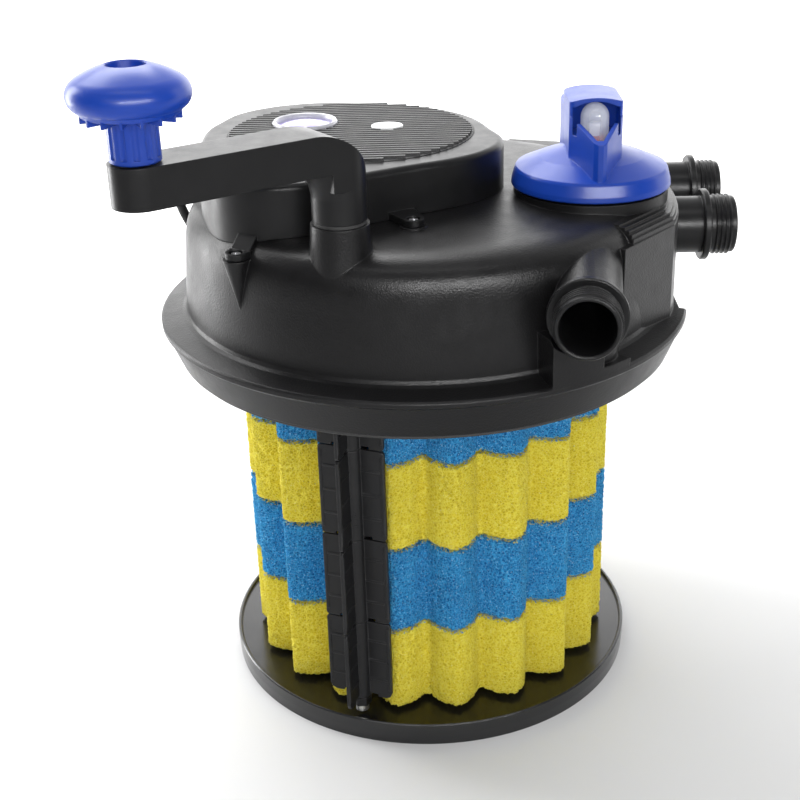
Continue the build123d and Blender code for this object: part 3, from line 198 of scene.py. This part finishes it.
def moulded(name, base, rough=0.45, pebble=0.0, pebble_scale=900, smudge=0.06, wear_and_highlight=0.5,
            coat=0.0, lift=0.03, specular=0.5):
    """Moulded plastic. Smudge varies the roughness, lift is how much dust lightens the base,
    and pebble is the strength of the grain."""
    graph = new_graph(name)
    large = graph.noise(scale=9, detail=3)
    medium = graph.noise(scale=70, detail=5, rough=0.6)
    fine = graph.noise(scale=1400, detail=3, rough=0.6)

    dust = graph.math("MULTIPLY", graph.remap(large, span=(0.35, 0.7)),
                      graph.remap(medium, span=(0.4, 0.65)))
    color = graph.mix(graph.remap(dust, span=(0, 1), to=(0.0, 0.35)),
                      base, shifted(base, offset=lift))
    # edges are lightened: partly real rubbed wear, partly a painted highlight along the edges
    worn_and_highlit, normal = edge_wear_and_highlight(graph)
    patchy = graph.remap(medium, span=(0.35, 0.65), to=(0.2 * wear_and_highlight, wear_and_highlight))
    rubbed_and_highlit = shifted(base, factor=1.8, offset=0.05)
    color = graph.mix(graph.math("MULTIPLY", worn_and_highlit, patchy), color, rubbed_and_highlit)

    smudged = graph.remap(medium, span=(0.3, 0.7), to=(rough - smudge, rough + smudge))
    speckle = graph.remap(fine, span=(0.3, 0.7), to=(-0.02, 0.02))
    graph.shade({"Base Color": color, "Roughness": graph.math("ADD", smudged, speckle),
                 "Specular IOR Level": specular})
    if coat:
        graph.shade({"Coat Weight": coat, "Coat Roughness": 0.2})

    normal = graph.bump(medium, strength=0.08, distance=0.0004, normal=normal)
    if pebble:
        grain = graph.math("ADD", graph.cells(pebble_scale),
                           graph.noise(scale=pebble_scale * 0.6, detail=2))
        normal = graph.bump(grain, strength=pebble, distance=0.00045, normal=normal)
    else:
        normal = graph.bump(fine, strength=0.05, distance=0.0002, normal=normal)
    graph.shade({"Normal": normal})
    return graph.owner


def rubber(name, base):
    graph = new_graph(name)
    mottle = graph.noise(scale=240, detail=4, rough=0.6)
    graph.shade({
        "Base Color": graph.mix(graph.remap(mottle, span=(0.35, 0.7)),
                                base, shifted(base, offset=0.02)),
        "Roughness": graph.remap(mottle, span=(0.3, 0.7), to=(0.6, 0.8)),
        "Normal": graph.bump(mottle, strength=0.3, distance=0.0003),
    })
    return graph.owner


def brushed_metal(name, base):
    """Metal with a fine grain drawn out along Z."""
    graph = new_graph(name)
    stretch = graph.node("Mapping", {"Scale": (1, 1, 0.05), "Vector": graph.place})
    grain = graph.noise(scale=2500, detail=3, place=stretch.outputs[0])
    graph.shade({
        "Base Color": graph.mix(grain, base, shifted(base, factor=0.75)),
        "Metallic": 1.0,
        "Roughness": graph.remap(grain, span=(0.3, 0.7), to=(0.22, 0.4)),
        "Normal": graph.bump(grain, strength=0.15, distance=0.0001),
    })
    return graph.owner


def quartz():
    graph = new_graph("quartz_glass")
    tint = (0.97, 0.98, 1.0)
    haze = graph.noise(scale=300, detail=3)
    graph.shade({
        "Base Color": graph.mix(haze, tint, shifted(tint, factor=0.96)),
        "Roughness": graph.remap(haze, span=(0.3, 0.7), to=(0.05, 0.1)),
        "IOR": 1.46,
        "Transmission Weight": 1.0,
        "Normal": graph.bump(haze, strength=0.04, distance=0.0002),
    })
    return graph.owner


def clear_capsule():
    """Thin clear plastic over the float, denser where it is seen edge-on, with a faint painted
    glow.
    """
    graph = new_graph("clear_capsule")
    haze = graph.noise(scale=300, detail=3)
    facing = graph.facing(blend=0.42)
    graph.shade({
        "Base Color": graph.mix(haze, (0.93, 0.95, 1.0), (0.88, 0.91, 0.98)),
        "Roughness": graph.remap(haze, span=(0.3, 0.7), to=(0.06, 0.14)),
        "Specular IOR Level": 0.8,
        "Alpha": graph.remap(facing, span=(0.0, 0.9), to=(0.22, 0.72)),
        # painted light: a faint white emission stands in for the shell's highlights
        "Emission Color": (0.9, 0.93, 1.0),
        "Emission Strength": 0.10,
        "Normal": graph.bump(haze, strength=0.04, distance=0.0002),
    })
    return graph.owner


def violet_lens():
    """A lit, slightly milky lens."""
    graph = new_graph("violet_lens")
    milk = graph.noise(scale=60, detail=4)
    graph.shade({
        "Base Color": graph.mix(milk, (0.30, 0.26, 0.62), (0.52, 0.47, 0.80)),
        "Roughness": graph.remap(milk, span=(0.3, 0.7), to=(0.08, 0.16)),
        "Coat Weight": 0.8,
        "Emission Color": (0.45, 0.38, 0.9),
        "Emission Strength": 0.12,
        "Normal": graph.bump(milk, strength=0.05, distance=0.0003),
    })
    return graph.owner


def foam(name, cut_heights, strut, middle, painted_cell_shade, painted_backlight, stray, painted_glint, painted_glint_amount,
         web_scale):
    """Open-cell foam, with painted shade in the cells. The "pore" attribute is 1 on a strut
    and 0 deep in a cell.
    """
    graph = new_graph(name)
    pore = graph.node("Attribute", attribute_name="pore").outputs["Fac"]

    # two sizes of web, on coordinates pushed about by noise
    wobble = graph.noise(scale=300, detail=2, rough=0.5, output="Color")
    place = graph.vector("MULTIPLY_ADD", wobble, (0.0016,) * 3, graph.place).outputs[0]
    coarse = graph.cells(web_scale, feature="DISTANCE_TO_EDGE", place=place)
    small = graph.cells(web_scale * 1.75, feature="DISTANCE_TO_EDGE", place=place)
    coarse = graph.remap(coarse, span=(0.03, 0.27), to=(1.0, 0.0))
    small = graph.remap(small, span=(0.02, 0.25), to=(1.0, 0.0))
    web = graph.math("MAXIMUM", coarse, graph.math("MULTIPLY", small, 0.75))
    grain = graph.noise(scale=1500, detail=3, rough=0.7)

    # painted shade: the colour runs from dark deep in a cell to bright on a strut
    height = graph.math("ADD", graph.math("MULTIPLY", pore, 0.42),
                        graph.math("MULTIPLY", web, 0.62))
    height = graph.math("ADD", height, graph.remap(grain, span=(0.3, 0.7), to=(-0.14, 0.14)))
    shadow = tuple(0.55 * mid + 0.45 * low for mid, low in zip(middle, painted_cell_shade))
    color = graph.ramp(height, [(0.0, painted_cell_shade), (0.30, shadow), (0.52, middle), (0.92, strut)])

    blotch = graph.noise(scale=26, detail=4)
    color = graph.mix(graph.remap(blotch, span=(0.4, 0.75), to=(0, 0.18)),
                      color, shifted(middle, factor=0.75))

    # painted glints: pale specks on the struts stand in for light catching the strands
    painted_glint_spots = graph.remap(graph.noise(scale=900, detail=2, rough=0.5),
                        span=(0.60, 0.70), to=(0, painted_glint_amount))
    on_web = graph.remap(web, span=(0.2, 0.8), to=(0.15, 1.0))
    color = graph.mix(graph.math("MULTIPLY", painted_glint_spots, on_web), color, painted_glint)

    # stray strands close to the cut faces
    level = graph.axes()["Z"]
    strand = graph.noise(scale=520, detail=3, rough=0.65)
    for cut in cut_heights:
        distance = graph.math("ABSOLUTE", graph.math("SUBTRACT", level, cut), 0)
        near = graph.remap(distance, span=(0.0, 0.0042), to=(0.30, 0.0))
        hit = graph.remap(graph.math("ADD", strand, near), span=(0.72, 0.80), to=(0.0, 0.9))
        color = graph.mix(hit, color, stray)

    # painted light: strands seen edge-on are painted paler, standing in for light shining
    # through them
    painted_rim_light = graph.remap(graph.facing(blend=0.35), span=(0.45, 0.95), to=(0.0, 0.55))
    on_web = graph.remap(web, span=(0.2, 0.9), to=(0.35, 1.0))
    color = graph.mix(graph.math("MULTIPLY", painted_rim_light, on_web), color, painted_backlight)

    relief = graph.math("ADD", web, graph.math("MULTIPLY", grain, 0.6))
    graph.shade({
        "Base Color": color,
        "Roughness": 0.85,
        "Specular IOR Level": 0.2,
        "Sheen Weight": 0.3,
        "Sheen Roughness": 0.5,
        "Sheen Tint": strut,
        "Normal": graph.bump(relief, strength=0.9, distance=0.0010),
    })
    return graph.owner


MATERIALS = {
    "lid": moulded("lid_plastic", (0.0078, 0.0076, 0.0081), rough=0.34, pebble=0.20,
                   pebble_scale=780, smudge=0.05, wear_and_highlight=0.30, lift=0.005, specular=0.20),
    "black": moulded("satin_black", (0.0075, 0.0075, 0.0080), rough=0.33, smudge=0.05,
                     wear_and_highlight=0.35, lift=0.005, specular=0.20),
    "arm": moulded("arm_black", (0.0080, 0.0080, 0.0085), rough=0.34, pebble=0.05,
                   pebble_scale=1500, smudge=0.05, wear_and_highlight=0.25, lift=0.005, specular=0.20),
    "tray": moulded("tray_black", (0.0060, 0.0060, 0.0066), rough=0.20, wear_and_highlight=0.4,
                    lift=0.008, coat=0.25, specular=0.45),
    "fin": moulded("fin_black", (0.0080, 0.0080, 0.0088), rough=0.36, smudge=0.08,
                   wear_and_highlight=0.7, lift=0.010, specular=0.24),
    "grille": moulded("grille_black", (0.0120, 0.0120, 0.0128), rough=0.46, pebble=0.12,
                      pebble_scale=1800, wear_and_highlight=0.6, lift=0.010, specular=0.32),
    "blue": moulded("gloss_blue", (0.006, 0.046, 0.36), rough=0.34, smudge=0.04,
                    wear_and_highlight=0.08, coat=0.06, lift=0.006, specular=0.26),
    "acetal": moulded("acetal_white", (0.72, 0.71, 0.67), rough=0.42, wear_and_highlight=0.1),
    "badge": moulded("badge_white", (0.90, 0.90, 0.90), rough=0.28, wear_and_highlight=0.1, coat=0.3,
                     lift=0.0),
    "bezel": moulded("bezel_grey", (0.46, 0.46, 0.50), rough=0.30, wear_and_highlight=0.3, coat=0.3),
    "board": moulded("board_green", (0.03, 0.14, 0.06), rough=0.5, wear_and_highlight=0.2),
    "red": moulded("float_red", (0.70, 0.085, 0.06), rough=0.35, wear_and_highlight=0.1, coat=0.3),
    "white": moulded("float_white", (0.88, 0.89, 0.93), rough=0.35, wear_and_highlight=0.1, coat=0.2,
                     lift=0.0),
    "rubber": rubber("black_rubber", (0.012, 0.012, 0.012)),
    "cable": rubber("cable_rubber", (0.012, 0.012, 0.013)),
    "steel": brushed_metal("stainless", (0.62, 0.62, 0.6)),
    "screw": brushed_metal("zinc_screw", (0.74, 0.74, 0.76)),
    "quartz": quartz(),
    "clear": clear_capsule(),
    "lens": violet_lens(),
}
for number, tint in enumerate(RING_TINTS, 1):
    low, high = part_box(f"sponge_{number}")
    cuts = []  # faces that touch another ring
    if number > 1:
        cuts.append(low.z)
    if number < len(RING_TINTS):
        cuts.append(high.z)
    MATERIALS[f"foam_{number}"] = foam(f"foam_{tint}_{number}", cuts, **FOAMS[tint]["shader"])

# parts not listed are satin black
PART_MATERIALS = {
    "lid_shell": "lid", "base_tray": "tray", "vent_grille": "grille", "crank_arm": "arm",
    "grip_knob": "blue", "selector_dial": "blue", "grip_pin": "blue",
    "rotor_segment_1": "fin", "rotor_segment_2": "fin", "rotor_segment_3": "fin",
    "rotor_top_segment": "fin",
    "crank_shaft": "steel", "drive_pin": "steel", "tray_screws": "steel",
    "housing_screws": "screw",
    "core_bush": "acetal", "crank_bush": "acetal", "stem_bush": "acetal",
    "valve_rotor": "acetal",
    "lid_seal": "rubber", "crank_seal": "rubber", "capsule_seal": "rubber",
    "power_cable": "cable",
    "indicator_capsule": "clear", "glow_lens": "lens", "lens_bezel": "bezel",
    "blank_badge": "badge", "float_body": "red", "float_stem": "white",
    "quartz_sleeve": "quartz", "uv_lamp": "white", "ballast_board": "board",
    "sponge_1": "foam_1", "sponge_2": "foam_2", "sponge_3": "foam_3", "sponge_4": "foam_4",
}
for part_name, part in PARTS.items():
    material = MATERIALS[PART_MATERIALS.get(part_name, "black")]
    if not part.material_slots:
        part.data.materials.append(material)
    for slot in part.material_slots:
        slot.material = material
    part.data.shade_smooth()
    part.data.set_sharp_from_angle(angle=SHARP_ANGLE)


# ----------------------------------------------------------------- foam rings
def cell_hash(x, y, z, seed):
    code = (x * 374761393 + y * 668265263 + z * 2147483647 + seed * 144665) & 0xFFFFFFFF
    code = ((code ^ (code >> 13)) * 1274126177) & 0xFFFFFFFF
    return code ^ (code >> 16)


def worley(points, size, seed):
    """Distances to the nearest and second nearest feature point, in cells, and a random
    number that belongs to the nearest."""
    scaled = points / size
    home = np.floor(scaled).astype(np.int64)
    nearest = np.full(len(points), 9.0)
    second = np.full(len(points), 9.0)
    chance = np.zeros(len(points))
    for step in itertools.product((-1, 0, 1), repeat=3):
        cell = home + np.array(step)
        code = cell_hash(cell[:, 0], cell[:, 1], cell[:, 2], seed)
        # ten bits of the hash place the feature point along each axis
        distance = np.sqrt(sum(
            (cell[:, axis] + ((code >> 10 * axis) & 1023) / 1023.0 - scaled[:, axis]) ** 2
            for axis in range(3)))
        nearer = distance < nearest
        second = np.where(nearer, nearest, np.minimum(second, distance))
        chance = np.where(nearer, ((code >> 5) & 255) / 255.0, chance)
        nearest = np.where(nearer, distance, nearest)
    return nearest, second, chance


def cad_outline(part_name):
    """Wavy outline of a CAD ring's bottom face, as angles over three turns and radii."""
    points = np.array([vertex.co for vertex in PARTS[part_name].data.vertices])
    at_bottom = points[:, 2] < points[:, 2].min() + 1e-4
    points = points[at_bottom & (np.hypot(points[:, 0], points[:, 1]) > 0.1)]
    angles = np.arctan2(points[:, 1], points[:, 0])
    radii = np.hypot(points[:, 0], points[:, 1])
    order = np.argsort(angles)
    angles, radii = angles[order], radii[order]
    keep = np.concatenate(([True], np.diff(angles) > 1e-5))
    angles, radii = angles[keep], radii[keep]
    return np.concatenate((angles - 2 * np.pi, angles, angles + 2 * np.pi)), np.tile(radii, 3)


def ring_outline(part_name):
    """Smoothed outline, sampled at even steps along its length."""
    turn = np.linspace(-np.pi, np.pi, OUTLINE_SAMPLES)
    exact = np.interp(turn, *cad_outline(part_name))
    window = SMOOTHING_WINDOW
    weights = np.hanning(window)
    weights /= weights.sum()
    wrapped = np.concatenate((exact[-window:-1], exact, exact[1:window]))
    smooth = np.convolve(wrapped, weights, "same")[window - 1:-(window - 1)]
    smooth = np.minimum(smooth, exact + 0.0004)
    steps = np.hypot(np.diff(smooth * np.cos(turn)), np.diff(smooth * np.sin(turn)))
    length = np.concatenate(([0], np.cumsum(steps)))
    even = np.linspace(0, length[-1], RING_COLUMNS, endpoint=False)
    angles = np.interp(even, length, turn)
    return angles, np.interp(angles, turn, smooth) + RING_SWELL


def ring_profile(bottom, top):
    """Section from the bore, out, up and back: (offset from the outline, z, pore weight)."""
    # (offset, pore weight) along an end face; None is the bore
    face = [(None, 0.0), (-0.030, 0.3), (-0.012, 0.6), (-0.005, 0.8)]
    profile = [(offset, bottom, weight) for offset, weight in face]
    profile.append((-LIP_INSET, bottom + LIP_RISE, 1.0))
    for z in np.linspace(bottom, top, RING_ROWS)[1:-1]:
        to_end = min(z - bottom, top - z)
        profile.append((-ROUNDING * max(0.0, 1 - to_end / ROUNDING_REACH) ** 2, z, 1.0))
    profile.append((-LIP_INSET, top - LIP_RISE, 1.0))
    profile += [(offset, top, weight) for offset, weight in reversed(face)]
    return profile


def ring_faces(row_count):
    """Quads between the rows, then the bore wall that closes the ring."""
    index = np.arange(row_count * RING_COLUMNS).reshape(row_count, RING_COLUMNS)
    onward = np.roll(index, -1, 1)
    skin = (index[:-1], onward[:-1], onward[1:], index[1:])
    bore = (index[0], index[-1], onward[-1], onward[0])
    return np.concatenate((np.stack([corner.ravel() for corner in skin], 1),
                           np.stack(bore, 1)))


def foam_ring(part_name, name, material, cell, depth, seed):
    low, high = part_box(part_name)
    bottom, top = low.z + RING_GAP, high.z - RING_GAP
    angles, outline = ring_outline(part_name)
    profile = ring_profile(bottom, top)
    rows = []
    for offset, z, _ in profile:
        radii = np.full(RING_COLUMNS, BORE_RADIUS) if offset is None else outline + offset
        rows.append(np.stack((radii * np.cos(angles), radii * np.sin(angles),
                              np.full(RING_COLUMNS, z)), 1))
    points = np.concatenate(rows)
    weight = np.repeat([entry[2] for entry in profile], RING_COLUMNS)

    # struts where two large or two small cells meet
    nearest, second, chance = worley(points, cell, seed)
    small_nearest, small_second, _ = worley(points, cell * 0.55, seed + 7)
    web = np.clip(1 - (second - nearest) / 0.42, 0, 1)
    small_web = np.clip(1 - (small_second - small_nearest) / 0.45, 0, 1)
    pore = np.clip(0.78 * web + 0.34 * small_web * (0.5 + 0.5 * chance), 0, 1)

    # open cells sink towards the axis
    sink = depth * (1 - pore) * (0.55 + 0.45 * chance) * weight
    radius = np.hypot(points[:, 0], points[:, 1])
    shrink = (radius - sink) / radius
    points[:, 0] *= shrink
    points[:, 1] *= shrink

    # ragged cut edges between the layers
    level = points[:, 2]
    to_end = np.minimum(level - bottom, top - level)
    edge = np.clip(1 - to_end / RAGGED_REACH, 0, 1) * (weight > 0.95)
    inward = np.where(level > (bottom + top) / 2, -1, 1)
    points[:, 2] += inward * edge * (1 - pore) * RAGGED_SHIFT

    faces = ring_faces(len(profile))
    mesh = bpy.data.meshes.new(name)
    mesh.vertices.add(len(points))
    mesh.vertices.foreach_set("co", points.astype(np.float32).ravel())
    mesh.loops.add(len(faces) * 4)
    mesh.loops.foreach_set("vertex_index", faces.astype(np.int32).ravel())
    mesh.polygons.add(len(faces))
    mesh.polygons.foreach_set("loop_start", np.arange(0, len(faces) * 4, 4, dtype=np.int32))
    mesh.update(calc_edges=True)
    mesh.validate()
    mesh.shade_smooth()
    attribute = mesh.attributes.new("pore", "FLOAT", "POINT")
    attribute.data.foreach_set("value", pore.astype(np.float32))
    mesh.materials.append(material)
    ring = bpy.data.objects.new(name, mesh)
    scene.collection.objects.link(ring)
    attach(ring, "carrier")
    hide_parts(part_name)
    return ring


for number, tint in enumerate(RING_TINTS, 1):
    ring = foam_ring(f"sponge_{number}", f"foam_ring_{number}", MATERIALS[f"foam_{number}"],
                     cell=FOAMS[tint]["cell"], depth=FOAMS[tint]["depth"],
                     seed=8 + 3 * number)


# ---------------------------------------------------------------------- stage
def floor_material():
    """White paper that glows away from the object, like a sweep under its own lamp."""
    graph = new_graph("floor_white")
    tone = graph.noise(scale=3, detail=2)
    color = graph.mix(tone, (0.66, 0.66, 0.665), (0.70, 0.70, 0.70))
    flat = graph.vector("MULTIPLY", graph.place, (1, 1, 0)).outputs[0]
    distance = graph.vector("LENGTH", flat).outputs["Value"]
    far = graph.remap(distance, span=(0.40, 1.3), to=(0.0, 0.95))
    # the front glows less, except where the camera sees it directly
    backward = graph.remap(graph.axes()["Y"], span=(-0.55, 0.1), to=(0.12, 1.0))
    side = graph.math("MAXIMUM", backward, graph.camera_ray())
    graph.shade({
        "Base Color": color,
        "Roughness": 0.6,
        "Specular IOR Level": 0.25,
        "Emission Color": (1, 1, 1),
        "Emission Strength": graph.math("MULTIPLY", far, side),
    })
    return graph.owner


def build_floor():
    mesh = bpy.data.meshes.new("floor")
    builder = bmesh.new()
    for x, y in ((-9, -4), (9, -4), (9, 16), (-9, 16)):
        builder.verts.new((x, y, 0.0))
    builder.faces.new(builder.verts)
    builder.to_mesh(mesh)
    builder.free()
    floor = bpy.data.objects.new("floor", mesh)
    scene.collection.objects.link(floor)
    mesh.materials.append(floor_material())


def build_world():
    """A room bright behind and above, dim in front, and plain white to the camera."""
    world = bpy.data.worlds.new("studio")
    scene.world = world
    graph = Graph(world, output="OutputWorld", shader="Background", coordinates="Generated")
    axes = graph.axes()
    back = graph.ramp(graph.remap(axes["Y"], span=(-0.6, 0.9)),
                      [(0.0, 0.10), (0.45, 0.20), (0.72, 0.9), (1.0, 1.6)])
    above = graph.ramp(graph.remap(axes["Z"], span=(0.2, 0.95)),
                       [(0.0, 0.0), (0.5, 0.25), (1.0, 0.75)])
    color = graph.mix(1.0, back, above, blend="ADD")
    color = graph.mix(graph.camera_ray(), color, (1.35, 1.35, 1.35))
    graph.shade({"Color": color, "Strength": 0.72})


def area_light(name, location, target, width, height, power):
    data = bpy.data.lights.new(name, "AREA")
    data.shape = "RECTANGLE"
    data.size = width
    data.size_y = height
    data.energy = power
    light = bpy.data.objects.new(name, data)
    light.location = location
    aim = Vector(target) - Vector(location)
    light.rotation_euler = aim.to_track_quat("-Z", "Y").to_euler()
    scene.collection.objects.link(light)
    return light


# name, location, target, width, height, watts
LIGHTS = (
    ("top_box", (-0.50, 0.80, 1.50), (0, 0, 0.30), 1.1, 0.7, 18),
    ("overhead", (0.05, -0.60, 1.95), (0.05, -0.15, 0.38), 1.5, 0.3, 5),
    ("back_wall", (0.1, 2.6, 0.95), (0, 0, 0.45), 4.6, 1.5, 40),
    ("left_strip", (-1.35, 0.55, 0.62), (0, 0, 0.33), 0.5, 1.3, 22),
    ("front_strip", (0.60, -2.1, 1.02), (0.05, 0, 0.34), 2.4, 0.24, 25),
    ("front_key", (-0.9, -2.2, 1.5), (0, 0, 0.10), 1.3, 1.0, 6),
    ("right_rim", (1.5, 0.5, 0.9), (0.1, 0, 0.3), 0.5, 1.2, 4),
    ("front_gleam", (0.60, -2.1, 1.05), (0.05, 0, 0.34), 2.2, 0.16, 60),
)


def build_camera():
    pitch = math.radians(24.727)  # downwards
    roll = math.radians(-1.2011)
    forward = Vector((0, math.cos(pitch), -math.sin(pitch)))
    right = Vector((1, 0, 0))
    up = right.cross(forward)
    rolled_right = math.cos(roll) * right + math.sin(roll) * up
    rolled_up = math.cos(roll) * up - math.sin(roll) * right
    pose = Matrix((rolled_right, rolled_up, -forward)).transposed().to_4x4()
    pose.translation = (0, -0.99809, 0.67184)

    data = bpy.data.cameras.new("camera")
    data.sensor_fit = "HORIZONTAL"
    data.sensor_width = 36
    data.lens = 61.832835
    data.shift_x = -0.0325
    data.shift_y = -0.00086
    camera = bpy.data.objects.new("camera", data)
    camera.matrix_world = pose
    scene.collection.objects.link(camera)
    scene.camera = camera


build_floor()
build_world()
for entry in LIGHTS:
    light = area_light(*entry)
# the last light, front_gleam, mostly adds a gleam in reflections
light.visible_diffuse = False
build_camera()
scene.view_settings.view_transform = "Standard"
scene.view_settings.look = "None"

bpy.context.view_layer.update()
